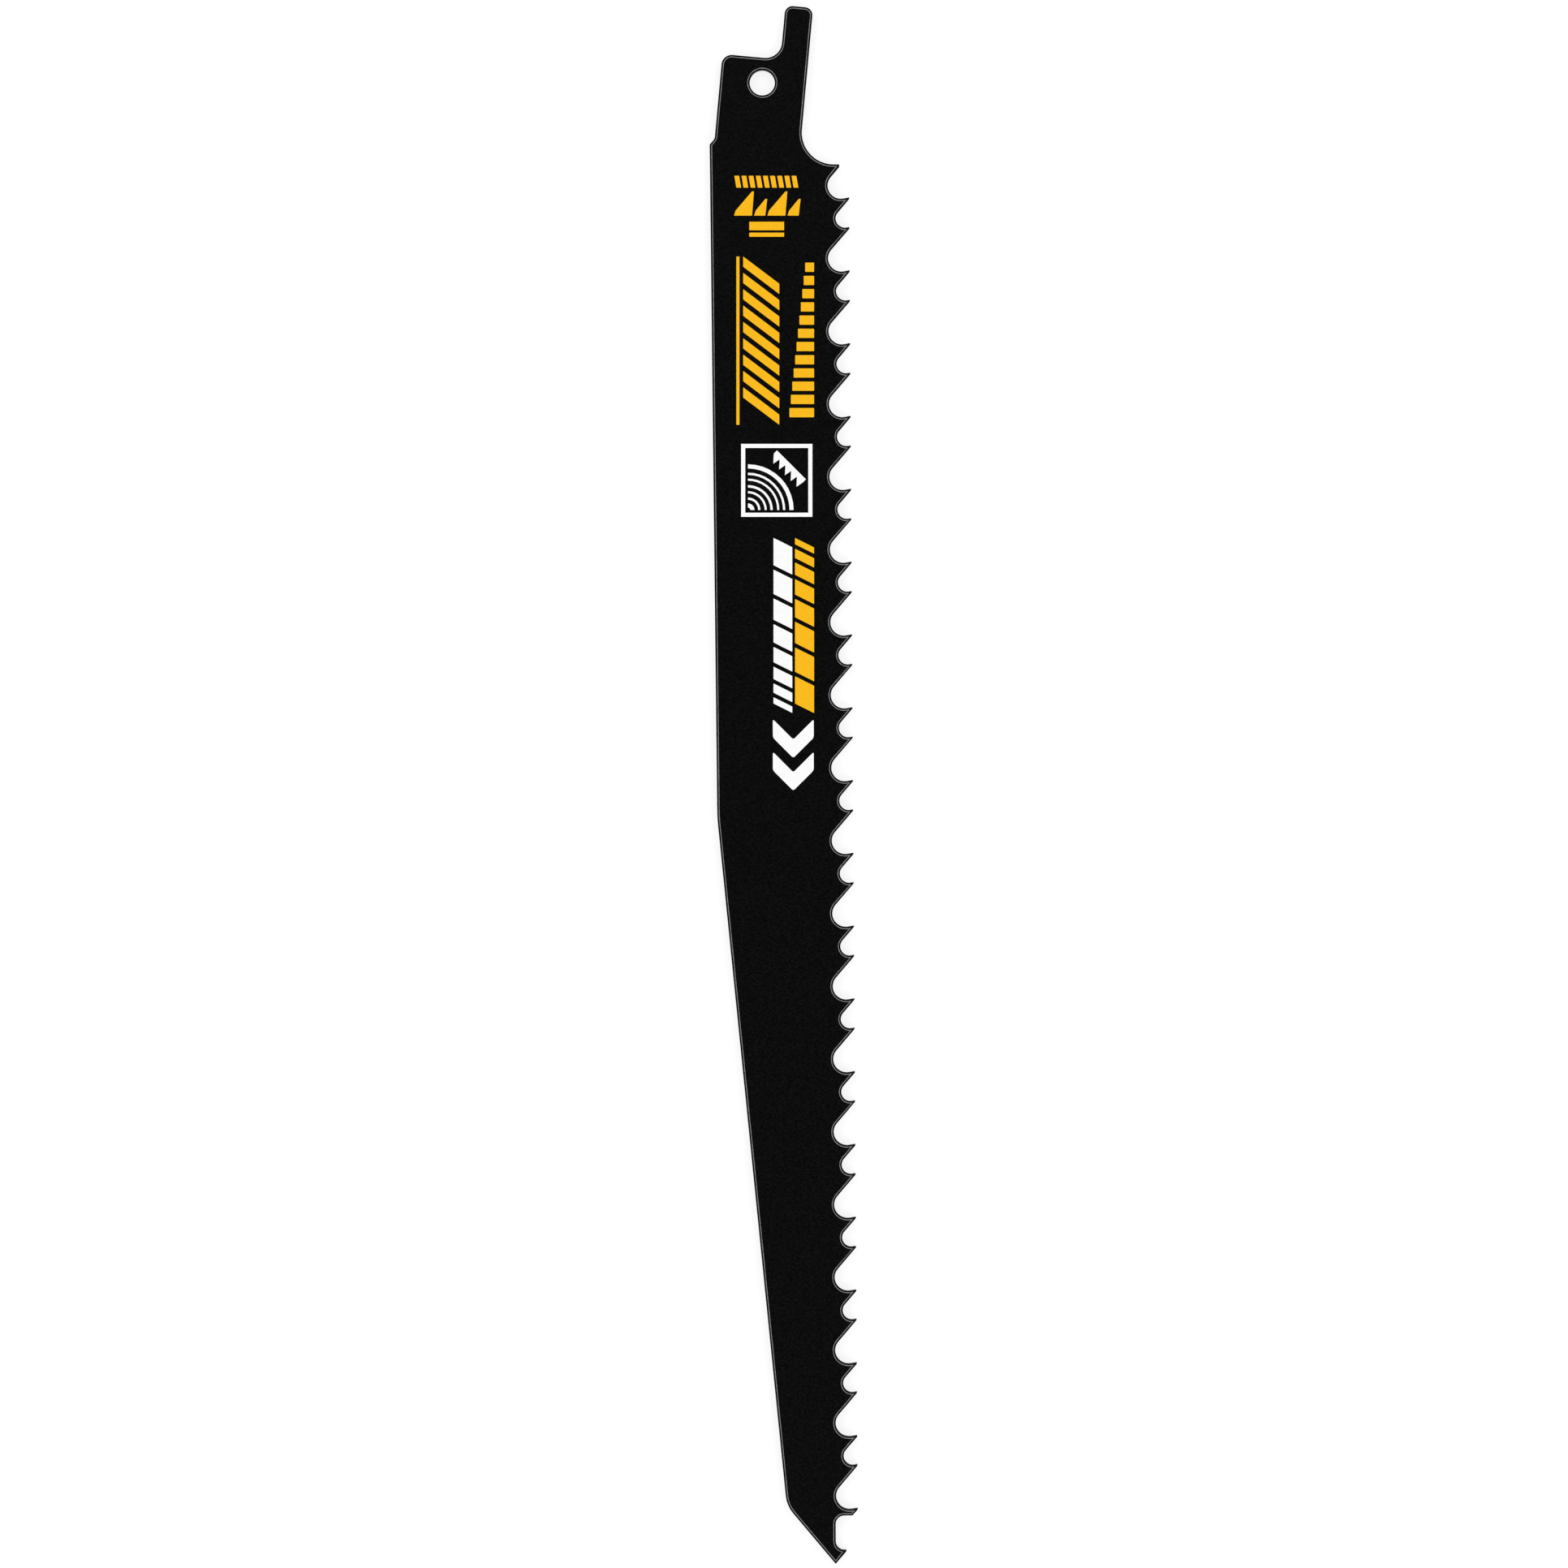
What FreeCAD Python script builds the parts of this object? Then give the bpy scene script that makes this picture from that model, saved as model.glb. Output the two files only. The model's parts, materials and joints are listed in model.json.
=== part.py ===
import FreeCAD, Part
import math
import os
import Sketcher

# Reciprocating saw blade, in millimetres.
# The origin is the centre of the tang hole at half the steel's thickness. X runs along the tooth
# line towards the point, Y across the blade towards the teeth, and Z out of the printed face.

NODE = "blade"
TOLERANCE = 1e-6

# Driving dimensions

SIZES = {
    # Steel strip
    "thickness": 1.27,
    # Tang: its centre line dives by the tilt below the tooth line, towards the back edge
    "tang_tilt": 5.62,
    "shank_width": 12.64,
    "shank_offset": 0.11,
    "shoulder": 3.67,
    "tab_end": 11.62,
    "tab_width": 4.09,
    "hole_diameter": 3.7,
    "notch_radius": 2.39,
    "shoulder_radius": 1.5,
    "tab_radius": 1.15,
    # Back edge: heel, long upper stretch, bend, tapering lower stretch and slanted nose
    "heel_along": 9.0,
    "heel_step": 0.654,
    "step_angle": 42.0,
    "step_radius": 1.0,
    "heel_radius": 0.25,
    "back_bend_along": 107.8,
    "back_bend_drop": 7.31,
    "back_bend_radius": 28.0,
    "nose_run": 8.6,
    "nose_rise": 7.14,
    "nose_radius": 4.63,
    "reach": 217.44,
    # Tooth line
    "tooth_line": 12.65,
    "throat_along": 12.04,
    "throat_radius": 4.65,
    "first_gullet_along": 10.65,
    "large_pitch": 6.37,
    "small_pitch": 4.315,
    "large_gullet_depth": 3.16,
    "small_gullet_depth": 2.015,
    "large_root_radius": 1.955,
    "small_root_radius": 1.354,
    "hook_angle": 10.0,
    "tip_land": 0.22,
    # Set: each tooth leans to one side above the bend line
    "set_depth": 1.43,
    "side_set": 0.3,
    # Plunge tip: a long notch behind a small tooth at the point
    "tip_zone": 7.6,
    "last_tooth_width": 1.0,
    "last_tooth_drop": 0.77,
    "tip_notch_depth": 3.25,
    "tip_notch_radius": 1.25,
    "tip_tooth_drop": 1.7,
    "tip_tooth_back": 2.06,
    "point_drop": 3.29,
}

# Sizes worked out from them

WORKED_OUT = {
    "shank_back": "shank_width / 2 - shank_offset",
    "shank_front": "shank_width / 2 + shank_offset",
    "pair_pitch": "large_pitch + small_pitch",
    "first_tip": "first_gullet_along + large_pitch",
    "tooth_pairs": "floor((reach - tip_zone - first_tip) / pair_pitch)",
    "last_tip": "first_tip + tooth_pairs * pair_pitch",
    "bend_line": "tooth_line - set_depth",
    # The heel stands out from the shank's back edge, and the bend joins the two stretches of the back
    "heel_drop": "(shank_back + heel_along * sin(tang_tilt)) / cos(tang_tilt) + heel_step",
    "nose_across": "tooth_line - point_drop - nose_rise",
    "upper_slope": "(heel_drop - back_bend_drop) / (back_bend_along - heel_along)",
    "lower_slope": "(nose_across + back_bend_drop) / (reach - nose_run - back_bend_along)",
    "back_bend_half": "back_bend_radius * tan((atan(lower_slope) - atan(upper_slope)) / 2)",
    # A root circle touches the floor of its gullet and the hooked face; the relief slope, about 41
    # degrees, then runs from the tip before it to the circle
    "land_half": "tip_land / 2",
    "large_root_drop": "large_gullet_depth - large_root_radius",
    "small_root_drop": "small_gullet_depth - small_root_radius",
    "large_root_along": "large_pitch - land_half - large_root_radius / cos(hook_angle)"
                        " + large_root_drop * tan(hook_angle)",
    "small_root_along": "small_pitch - land_half - small_root_radius / cos(hook_angle)"
                        " + small_root_drop * tan(hook_angle)",
    # The step's slope meets the shank's back edge this far before the heel
    "step_run": "heel_step / (tan(step_angle) - tan(tang_tilt))",
    "throat_foot": "(shank_front - throat_along * sin(tang_tilt)) / cos(tang_tilt)",
    # The arcs of the throat and of the tip notch end on their upright walls, whatever their radius
    "throat_room": "(bend_line - throat_foot) * tan(45 - tang_tilt / 2)",
    "throat_rounding": "min(throat_radius; 0.98 * throat_room)",
    "tip_face_length": "(tip_notch_depth - tip_tooth_drop) / cos(hook_angle)",
    "tip_notch_room": "tip_face_length * tan(45 - hook_angle / 2)",
    "tip_notch_rounding": "min(tip_notch_radius; 0.98 * tip_notch_room)",
    # Where the tang's profile ends inside the strip, and where the strip drops past the last tooth
    "tang_root": "throat_along + tip_land",
    "shelf_along": "last_tip + 2 * last_tooth_width",
    "cut_through": "2 * thickness + 4 * side_set",
}

doc = FreeCAD.newDocument("saw_blade")
sheet = doc.addObject("Spreadsheet::Sheet", "size")
cells = {name: str(value) for name, value in SIZES.items()}
cells.update({name: "=" + formula for name, formula in WORKED_OUT.items()})
for row, (name, content) in enumerate(cells.items(), start=1):
    sheet.set(f"A{row}", name)
    sheet.set(f"B{row}", content)
    sheet.setAlias(f"B{row}", name)
doc.recompute()

body = doc.addObject("PartDesign::Body", NODE)
body.Label = NODE


def number(expression):
    """The value now of an expression in the sheet's names."""
    return float(sheet.evalExpression(expression))


def origin_feature(role):
    """The plane or axis of the blade's own origin with this role."""
    return next(item for item in body.Origin.OriginFeatures if item.Role == role)


def new_sketch(name, role, **offset):
    """A sketch on an origin plane, shifted or turned by expressions."""
    sketch = body.newObject("Sketcher::SketchObject", name)
    sketch.AttachmentSupport = (origin_feature(role), [""])
    sketch.MapMode = "FlatFace"
    for path, expression in offset.items():
        sketch.setExpression("AttachmentOffset." + path.replace("_", "."), expression)
    return sketch


def bind(sketch, *constraint):
    """Adds a constraint whose last entry is its expression."""
    expression = constraint[-1]
    index = sketch.addConstraint(Sketcher.Constraint(*constraint[:-1], number(expression)))
    sketch.setExpression(f"Constraints[{index}]", expression)


def shallow_arc(start, end, radius):
    """An arc from start to end that bulges to the right of the way from one to the other."""
    chord = end - start
    left = FreeCAD.Vector(-chord.y, chord.x) / chord.Length
    centre = (start + end) / 2 + left * math.sqrt(radius ** 2 - chord.Length ** 2 / 4)
    angles = [math.atan2(place.y - centre.y, place.x - centre.x) for place in (start, end)]
    return Part.ArcOfCircle(Part.Circle(centre, FreeCAD.Vector(0, 0, 1), radius), *angles)


def closed_outline(sketch, corners, arcs=None):
    """Edges from corner to corner, each corner held by two expressions, and some edges arcs."""
    arcs = arcs or {}
    places = [FreeCAD.Vector(number(along), number(across)) for along, across in corners]
    for index, start in enumerate(places):
        end = places[(index + 1) % len(places)]
        if index in arcs:
            sketch.addGeometry(shallow_arc(start, end, number(arcs[index])))
        else:
            sketch.addGeometry(Part.LineSegment(start, end))
    for index, (along, across) in enumerate(corners):
        following = (index + 1) % len(corners)
        sketch.addConstraint(Sketcher.Constraint("Coincident", index, 2, following, 1))
        bind(sketch, "DistanceX", -1, 1, index, 1, along)
        bind(sketch, "DistanceY", -1, 1, index, 1, across)
    for index, radius in arcs.items():
        bind(sketch, "Radius", index, radius)


def pad(name, profile, length, midplane):
    """Steel grown from a profile."""
    feature = body.newObject("PartDesign::Pad", name)
    feature.Profile = profile
    feature.Midplane = midplane
    feature.setExpression("Length", length)
    doc.recompute()
    return feature


def cut(name, profile):
    """A cut through the steel and the teeth's lean, as long above the sketch as below it."""
    feature = body.newObject("PartDesign::Pocket", name)
    feature.Profile = profile
    feature.Midplane = True
    feature.setExpression("Length", "size.cut_through")
    doc.recompute()
    return feature


def repeat_along_teeth(name, feature, count):
    """Copies of a feature, one tooth pair apart."""
    row = body.newObject("PartDesign::LinearPattern", name)
    row.Originals = [feature]
    row.Direction = (origin_feature("X_Axis"), [""])
    row.Mode = "Spacing"
    row.setExpression("Offset", "size.pair_pitch")
    row.setExpression("Occurrences", count)
    body.Tip = row
    doc.recompute()
    return row


def round_upright_edges(name, radius, places):
    """A fillet on the upright edges nearest to some places in the XY plane."""
    base = body.Tip
    upright = []
    for index, edge in enumerate(base.Shape.Edges, start=1):
        run = edge.Vertexes[-1].Point - edge.Vertexes[0].Point
        if math.hypot(run.x, run.y) < TOLERANCE < abs(run.z):
            upright.append((edge.Vertexes[0].Point, f"Edge{index}"))
    chosen = []
    for x, y in places:
        nearest = min(upright, key=lambda item: math.hypot(item[0].x - x, item[0].y - y))
        chosen.append(nearest[1])
    fillet = body.newObject("PartDesign::Fillet", name)
    fillet.Base = (base, chosen)
    fillet.setExpression("Radius", radius)
    doc.recompute()
    return fillet


def on_tang(along, across):
    """The blade's X and Y of a place given along and across the tilted tang."""
    tilt = math.radians(number("tang_tilt"))
    x = along * math.cos(tilt) + across * math.sin(tilt)
    y = across * math.cos(tilt) - along * math.sin(tilt)
    return x, y


# Strip up to the bend line, with its back edge, nose and point

BACK_BEND = 1
blank = new_sketch("blank_outline", "XY_Plane")
closed_outline(blank, [
    ("size.heel_along", "-size.heel_drop"),
    ("size.back_bend_along - size.back_bend_half",
     "-size.back_bend_drop - size.upper_slope * size.back_bend_half"),
    ("size.back_bend_along + size.back_bend_half",
     "-size.back_bend_drop + size.lower_slope * size.back_bend_half"),
    ("size.reach - size.nose_run", "size.nose_across"),
    ("size.reach", "size.tooth_line - size.point_drop"),
    ("size.reach - size.tip_tooth_back + size.tip_land", "size.tooth_line - size.tip_tooth_drop"),
    ("size.shelf_along", "size.tooth_line - size.tip_tooth_drop"),
    ("size.shelf_along", "size.bend_line"),
    ("size.throat_along", "size.bend_line"),
    ("size.throat_along", "size.throat_foot - size.step_run"),
    ("size.heel_along - 2 * size.step_run",
     "-size.heel_drop + 2 * size.step_run * tan(size.step_angle)"),
], arcs={BACK_BEND: "size.back_bend_radius"})
pad("blank", blank, "size.thickness", True)

# Tang: shank, shoulder and the narrow tab that leads into the clamp

tang = new_sketch("tang_outline", "XY_Plane", Rotation_Angle="-size.tang_tilt")
closed_outline(tang, [
    ("-size.tab_end", "size.shank_front - size.tab_width"),
    ("-size.shoulder", "size.shank_front - size.tab_width"),
    ("-size.shoulder", "-size.shank_back"),
    ("size.tang_root", "-size.shank_back"),
    ("size.tang_root", "size.shank_front"),
    ("-size.tab_end", "size.shank_front"),
])
pad("tang", tang, "size.thickness", True)

# Rounded corners of the outline

shoulder = -number("shoulder")
tab_end = -number("tab_end")
shank_front = number("shank_front")
tab_back = number("shank_front - tab_width")
heel = (number("heel_along"), -number("heel_drop"))
step = (number("heel_along - step_run"), number("step_run * tan(step_angle) - heel_drop"))
nose = (number("reach - nose_run"), number("nose_across"))
throat = (number("throat_along"), number("throat_foot"))

round_upright_edges("notch_rounding", "size.notch_radius", [on_tang(shoulder, tab_back)])
round_upright_edges("shoulder_rounding", "size.shoulder_radius",
                    [on_tang(shoulder, -number("shank_back"))])
round_upright_edges("tab_rounding", "size.tab_radius",
                    [on_tang(tab_end, tab_back), on_tang(tab_end, shank_front)])
round_upright_edges("throat_rounding", "size.throat_rounding", [throat])
round_upright_edges("step_rounding", "size.step_radius", [step])
round_upright_edges("heel_rounding", "size.heel_radius", [heel])
round_upright_edges("nose_rounding", "size.nose_radius", [nose])

# Hole through the tang

hole = new_sketch("hole_outline", "XY_Plane")
hole.addGeometry(Part.Circle(FreeCAD.Vector(), FreeCAD.Vector(0, 0, 1), number("hole_diameter / 2")))
hole.addConstraint(Sketcher.Constraint("Coincident", 0, 3, -1, 1))
bind(hole, "Diameter", 0, "size.hole_diameter")
cut("tang_hole", hole)


# Set teeth: above the bend line the strip leans to one side for one tooth and to the other for the next

def set_strip(name, start, length, lean):
    """One tooth's width of leaning strip, from the bottom of one gullet to that of the next."""
    section = new_sketch(name + "_section", "YZ_Plane", Base_z=start)
    lean_top = f"{lean} * size.side_set"
    closed_outline(section, [
        ("size.bend_line", "-size.thickness / 2"),
        ("size.tooth_line", f"{lean_top} - size.thickness / 2"),
        ("size.tooth_line", f"{lean_top} + size.thickness / 2"),
        ("size.bend_line", "size.thickness / 2"),
    ])
    return pad(name, section, length, False)


after_large = set_strip("tooth_after_large", "size.first_gullet_along + size.large_root_along",
                        "size.large_pitch - size.large_root_along + size.small_root_along", 1)
repeat_along_teeth("teeth_after_large", after_large, "size.tooth_pairs + 1")
after_small = set_strip("tooth_after_small", "size.first_tip + size.small_root_along",
                        "size.small_pitch - size.small_root_along + size.large_root_along", -1)
repeat_along_teeth("teeth_after_small", after_small, "size.tooth_pairs")


# Gullets: a relief slope behind one tip, a round root and the hooked face of the next tooth

def gullet(name, tip, kind):
    """One gullet, its sketch measured from the tip before it."""
    sketch = new_sketch(name + "_outline", "XY_Plane", Base_x=tip, Base_y="size.tooth_line")
    land = number("land_half")
    face_top = number(f"{kind}_pitch - land_half")
    above = number("set_depth")
    radius = number(f"{kind}_root_radius")
    centre = FreeCAD.Vector(number(f"{kind}_root_along"), -number(f"{kind}_root_drop"))
    to_centre = centre - FreeCAD.Vector(land, 0)
    relief = math.asin(radius / to_centre.Length) - math.atan2(to_centre.y, to_centre.x)
    hook = math.radians(number("hook_angle"))
    relief_foot = centre + FreeCAD.Vector(-math.sin(relief), -math.cos(relief)) * radius
    face_foot = centre + FreeCAD.Vector(math.cos(hook), math.sin(hook)) * radius
    outline = [
        Part.LineSegment(FreeCAD.Vector(land, above), FreeCAD.Vector(land, 0)),
        Part.LineSegment(FreeCAD.Vector(land, 0), relief_foot),
        Part.ArcOfCircle(Part.Circle(centre, FreeCAD.Vector(0, 0, 1), radius),
                         1.5 * math.pi - relief, 2 * math.pi + hook),
        Part.LineSegment(face_foot, FreeCAD.Vector(face_top, 0)),
        Part.LineSegment(FreeCAD.Vector(face_top, 0), FreeCAD.Vector(face_top, above)),
        Part.LineSegment(FreeCAD.Vector(face_top, above), FreeCAD.Vector(land, above)),
    ]
    sketch.addGeometry(outline)
    fixed = [
        ("Coincident", 0, 2, 1, 1),
        ("Tangent", 1, 2, 2, 1),
        ("Tangent", 2, 2, 3, 1),
        ("Coincident", 3, 2, 4, 1),
        ("Coincident", 4, 2, 5, 1),
        ("Coincident", 5, 2, 0, 1),
        ("Vertical", 0),
        ("Vertical", 4),
        ("Horizontal", 5),
        ("PointOnObject", 0, 2, -1),
        ("PointOnObject", 3, 2, -1),
    ]
    for constraint in fixed:
        sketch.addConstraint(Sketcher.Constraint(*constraint))
    bind(sketch, "DistanceX", -1, 1, 0, 2, "size.land_half")
    bind(sketch, "DistanceX", -1, 1, 3, 2, f"size.{kind}_pitch - size.land_half")
    bind(sketch, "DistanceY", -1, 1, 0, 1, "size.set_depth")
    bind(sketch, "Radius", 2, f"size.{kind}_root_radius")
    bind(sketch, "DistanceX", -1, 1, 2, 3, f"size.{kind}_root_along")
    bind(sketch, "DistanceY", -1, 1, 2, 3, f"-size.{kind}_root_drop")
    return cut(name, sketch)


large = gullet("large_gullet", "size.first_gullet_along", "large")
repeat_along_teeth("large_gullets", large, "size.tooth_pairs + 1")
small = gullet("small_gullet", "size.first_tip", "small")
repeat_along_teeth("small_gullets", small, "size.tooth_pairs")

# Long notch between the last full tooth and the small tooth at the point

tip_notch = new_sketch("tip_notch_outline", "XY_Plane", Base_x="size.last_tip", Base_y="size.tooth_line")
face_top = "size.reach - size.last_tip - size.tip_tooth_back"
closed_outline(tip_notch, [
    ("size.land_half", "size.set_depth"),
    ("size.land_half", "0"),
    ("size.last_tooth_width", "-size.last_tooth_drop"),
    ("size.last_tooth_width", "-size.tip_notch_depth"),
    (f"{face_top} + (size.tip_notch_depth - size.tip_tooth_drop) * tan(size.hook_angle)",
     "-size.tip_notch_depth"),
    (f"{face_top}", "-size.tip_tooth_drop"),
    (f"{face_top}", "size.set_depth"),
])
cut("tip_notch", tip_notch)
notch_floor = number("tooth_line - tip_notch_depth")
round_upright_edges("tip_notch_corners", "size.tip_notch_rounding", [
    (number("last_tip + last_tooth_width"), notch_floor),
    (number("reach - tip_tooth_back"), notch_floor),
])

# Checks, then the file

doc.recompute()
for item in doc.Objects:
    if "Invalid" in item.State or "Error" in item.State:
        raise RuntimeError(f"{item.Name} failed: {item.State}")
shape = body.Shape
if shape.isNull() or not shape.isValid() or len(shape.Solids) != 1:
    raise RuntimeError("the blade isn't one sound solid")

os.makedirs("parts", exist_ok=True)
shape.exportStep(f"parts/{NODE}.step")
box = shape.BoundBox
print(f"blade: {number('2 * tooth_pairs + 1'):.0f} full teeth, volume {shape.Volume:.1f}")
print(f"X {box.XMin:.2f} to {box.XMax:.2f}, Y {box.YMin:.2f} to {box.YMax:.2f}, thick {box.ZLength:.2f}")
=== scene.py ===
# %% [markdown]
# # A reciprocating saw blade
#
# The real blade is one strip of hard steel, blanked to its outline, with teeth ground and then leant
# to either side by turns. It is dipped in a black coat and printed in yellow and white on one face.
#
# The lesson draws the blade's flat pattern with one travelling vertex, gives it thickness, sets the
# teeth, and then makes the coat and the print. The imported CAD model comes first. It says where
# everything lies, and the blade drawn here stands in for its plain solid.

# %% The frame
import json
import math

import bpy
from mathutils import Matrix, Vector

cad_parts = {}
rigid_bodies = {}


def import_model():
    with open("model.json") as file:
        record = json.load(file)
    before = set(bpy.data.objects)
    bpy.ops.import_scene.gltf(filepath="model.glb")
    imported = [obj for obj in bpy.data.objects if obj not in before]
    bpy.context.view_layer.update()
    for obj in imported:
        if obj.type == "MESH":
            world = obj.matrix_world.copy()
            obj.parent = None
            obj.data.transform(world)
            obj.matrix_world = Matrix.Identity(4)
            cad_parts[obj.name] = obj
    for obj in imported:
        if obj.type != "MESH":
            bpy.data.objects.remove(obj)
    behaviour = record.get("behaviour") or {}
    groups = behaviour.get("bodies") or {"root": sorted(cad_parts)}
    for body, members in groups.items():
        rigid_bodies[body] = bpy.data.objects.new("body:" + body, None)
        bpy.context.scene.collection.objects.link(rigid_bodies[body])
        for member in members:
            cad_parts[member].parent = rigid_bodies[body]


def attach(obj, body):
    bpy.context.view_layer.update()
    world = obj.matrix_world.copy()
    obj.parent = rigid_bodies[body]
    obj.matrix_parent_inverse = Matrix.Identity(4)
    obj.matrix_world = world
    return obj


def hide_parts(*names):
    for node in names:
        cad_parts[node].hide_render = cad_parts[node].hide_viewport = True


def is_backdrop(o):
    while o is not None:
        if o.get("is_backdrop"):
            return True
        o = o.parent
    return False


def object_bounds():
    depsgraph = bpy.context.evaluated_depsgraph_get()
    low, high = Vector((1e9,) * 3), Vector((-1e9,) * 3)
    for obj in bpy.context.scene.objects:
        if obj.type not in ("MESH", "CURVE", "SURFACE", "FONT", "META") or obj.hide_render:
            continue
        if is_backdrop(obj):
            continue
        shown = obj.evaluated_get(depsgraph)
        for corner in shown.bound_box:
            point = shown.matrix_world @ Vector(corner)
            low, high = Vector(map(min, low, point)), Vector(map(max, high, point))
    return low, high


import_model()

cad_low, cad_high = (list(corner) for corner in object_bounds())
print("CAD box in metres:", cad_low, cad_high)

# %% [markdown]
# ## Sizes
#
# The blade is small beside Blender's own tolerances, which suit things measured in metres. So it is
# drawn a thousand times too large, one unit to the millimetre, and every finished piece is scaled
# down at the end. X runs along the tooth line towards the point, Y across towards the teeth, and
# the origin is the centre of the tang hole at half the steel's thickness.

# %% Sizes of the steel
THICKNESS = 1.27
TOOTH_LINE = 12.65
TIP_LAND = 0.22
HOOK = math.radians(10.0)
SET_DEPTH = 1.43
SIDE_SET = 0.3
BEND_LINE = TOOTH_LINE - SET_DEPTH

# A gullet: the distance from one tip to the next, its depth and the radius of its root
LARGE = {"pitch": 6.37, "depth": 3.16, "root": 1.955}
SMALL = {"pitch": 4.315, "depth": 2.015, "root": 1.354}
PAIR_PITCH = LARGE["pitch"] + SMALL["pitch"]
TOOTH_PAIRS = 18
FIRST_GULLET = 10.65
FIRST_TIP = FIRST_GULLET + LARGE["pitch"]
LAST_TIP = FIRST_TIP + TOOTH_PAIRS * PAIR_PITCH
print(f"full teeth: {2 * TOOTH_PAIRS + 1}, last tip at {LAST_TIP:.2f} mm")

# %% [markdown]
# ## The travelling vertex
#
# A flat outline can be drawn in Blender by pulling one vertex out of another. E draws a straight
# edge, and Spin carries the last vertex round a centre and leaves an arc. A round stretch is then a
# belt round a pulley: a straight run up to the circle, an arc along it, and a straight run away.
# Every root, corner and bend on this blade is made so, and comes out as round as the real one.

# %% An empty drawing


def new_drawing(name):
    """An empty mesh at the origin, open for drawing."""
    bpy.ops.object.select_all(action="DESELECT")
    bpy.ops.mesh.primitive_plane_add()
    drawing = bpy.context.object
    drawing.name = name
    bpy.ops.object.mode_set(mode="EDIT")
    bpy.ops.mesh.select_mode(type="VERT")
    bpy.ops.mesh.select_all(action="SELECT")
    bpy.ops.mesh.delete(type="VERT")
    return drawing


def start_at(place):
    """Puts one vertex down, to be pulled out into an outline."""
    bpy.ops.mesh.select_all(action="DESELECT")
    bpy.ops.mesh.primitive_plane_add(location=(place.x, place.y, 0))
    bpy.ops.mesh.merge(type="CENTER")
    return place


# %% Straight edges and arcs
ARC_STEP = math.radians(9.0)


def straight(here, there):
    """A straight edge from the last vertex."""
    step = there - here
    bpy.ops.mesh.extrude_region_move(TRANSFORM_OT_translate={"value": (step.x, step.y, 0)})
    return there


def heading(step):
    """The direction of a step, as an angle from the X axis."""
    return math.atan2(step.y, step.x)


def arc(here, centre, turn):
    """An arc from the last vertex round a centre, by so many radians to the left."""
    steps = max(3, round(abs(turn) / ARC_STEP))
    bpy.ops.mesh.spin(steps=steps, angle=-turn, center=(centre.x, centre.y, 0), axis=(0, 0, 1))
    return centre + Matrix.Rotation(turn, 2) @ (here - centre)


print("edges in a quarter turn:", round(math.pi / 2 / ARC_STEP))

# %% [markdown]
# ## Round corners
#
# A drawing of a blade gives its corners and their radii. The centre of a rounded corner lies on the
# line that halves the corner, at the distance where its circle touches both sides. From there on it
# is the belt again. A sharp corner is only a vertex.

# %% Onto a circle and round it


def around(here, centre, radius, after, side):
    """A belt's run onto a circle on its left (side 1) or right (-1), and round it towards a place."""
    inward, outward = centre - here, centre - after
    coming = heading(inward) - side * math.asin(radius / inward.length)
    going = heading(outward) + side * math.asin(radius / outward.length) + math.pi
    run = math.sqrt(inward.length ** 2 - radius ** 2)
    touch = here + Vector((math.cos(coming), math.sin(coming))) * run
    turn = side * (side * (going - coming) % math.tau)
    straight(here, touch)
    return arc(touch, centre, turn)


# %% From corner to corner


def through(here, corners, after):
    """Edges from corner to corner, each given with the radius that rounds it, 0 for a sharp one."""
    places = [place for place, _ in corners] + [after]
    for (corner, radius), following in zip(corners, places[1:]):
        if radius:
            back, ahead = (here - corner).normalized(), (following - corner).normalized()
            centre = corner + (back + ahead).normalized() * radius / math.sin(back.angle(ahead) / 2)
            side = 1 if (corner - here).cross(following - corner) > 0 else -1
            here = around(here, centre, radius, following, side)
        else:
            here = straight(here, corner)
    return straight(here, after)


# %% [markdown]
# ## Two gullets, repeated
#
# The toothed edge is one pattern eighteen times over: a shallow gullet, a tip, a deep gullet, a tip.
# Behind each tip the steel falls away in a relief slope, the root is round so that it doesn't crack,
# and the face of the next tooth is hooked towards the clamp. One pair is drawn and an Array
# modifier repeats it, as the grinding wheel does on a stack of blades.

# %% One pair of gullets
HALF_LAND = TIP_LAND / 2


def root_centre(tip_along, gullet):
    """The centre of a gullet's root, which touches the gullet's floor and the hooked face."""
    drop = gullet["depth"] - gullet["root"]
    along = gullet["pitch"] - HALF_LAND - gullet["root"] / math.cos(HOOK) + drop * math.tan(HOOK)
    return Vector((tip_along + along, TOOTH_LINE - drop))


def draw_gullet(here, tip_along, gullet):
    """From the far end of one tip's land, down round the root and up to the next, and along it."""
    land_start = Vector((tip_along + gullet["pitch"] - HALF_LAND, TOOTH_LINE))
    here = around(here, root_centre(tip_along, gullet), gullet["root"], land_start, 1)
    straight(here, land_start)
    return straight(land_start, land_start + Vector((TIP_LAND, 0)))


blade = new_drawing("saw_blade")
here = start_at(Vector((FIRST_TIP + HALF_LAND, TOOTH_LINE)))
here = draw_gullet(here, FIRST_TIP, SMALL)
here = draw_gullet(here, FIRST_TIP + SMALL["pitch"], LARGE)
bpy.ops.object.mode_set(mode="OBJECT")

teeth = blade.modifiers.new("teeth", "ARRAY")
teeth.count = TOOTH_PAIRS
teeth.use_relative_offset = False
teeth.use_constant_offset = True
teeth.constant_offset_displace = (PAIR_PITCH, 0, 0)
teeth.use_merge_vertices = True
bpy.ops.object.modifier_apply(modifier=teeth.name)
print("vertices along the teeth:", len(blade.data.vertices))

# %% [markdown]
# ## The rest of the outline
#
# From the last tip the line runs through the long notch behind the small tooth at the point, down
# the slanted nose, back along the two stretches of the back edge, round the tang and up the throat.
# The tang dives a few degrees below the tooth line, so its corners are given along and across the
# tang itself and turned into place.

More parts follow.
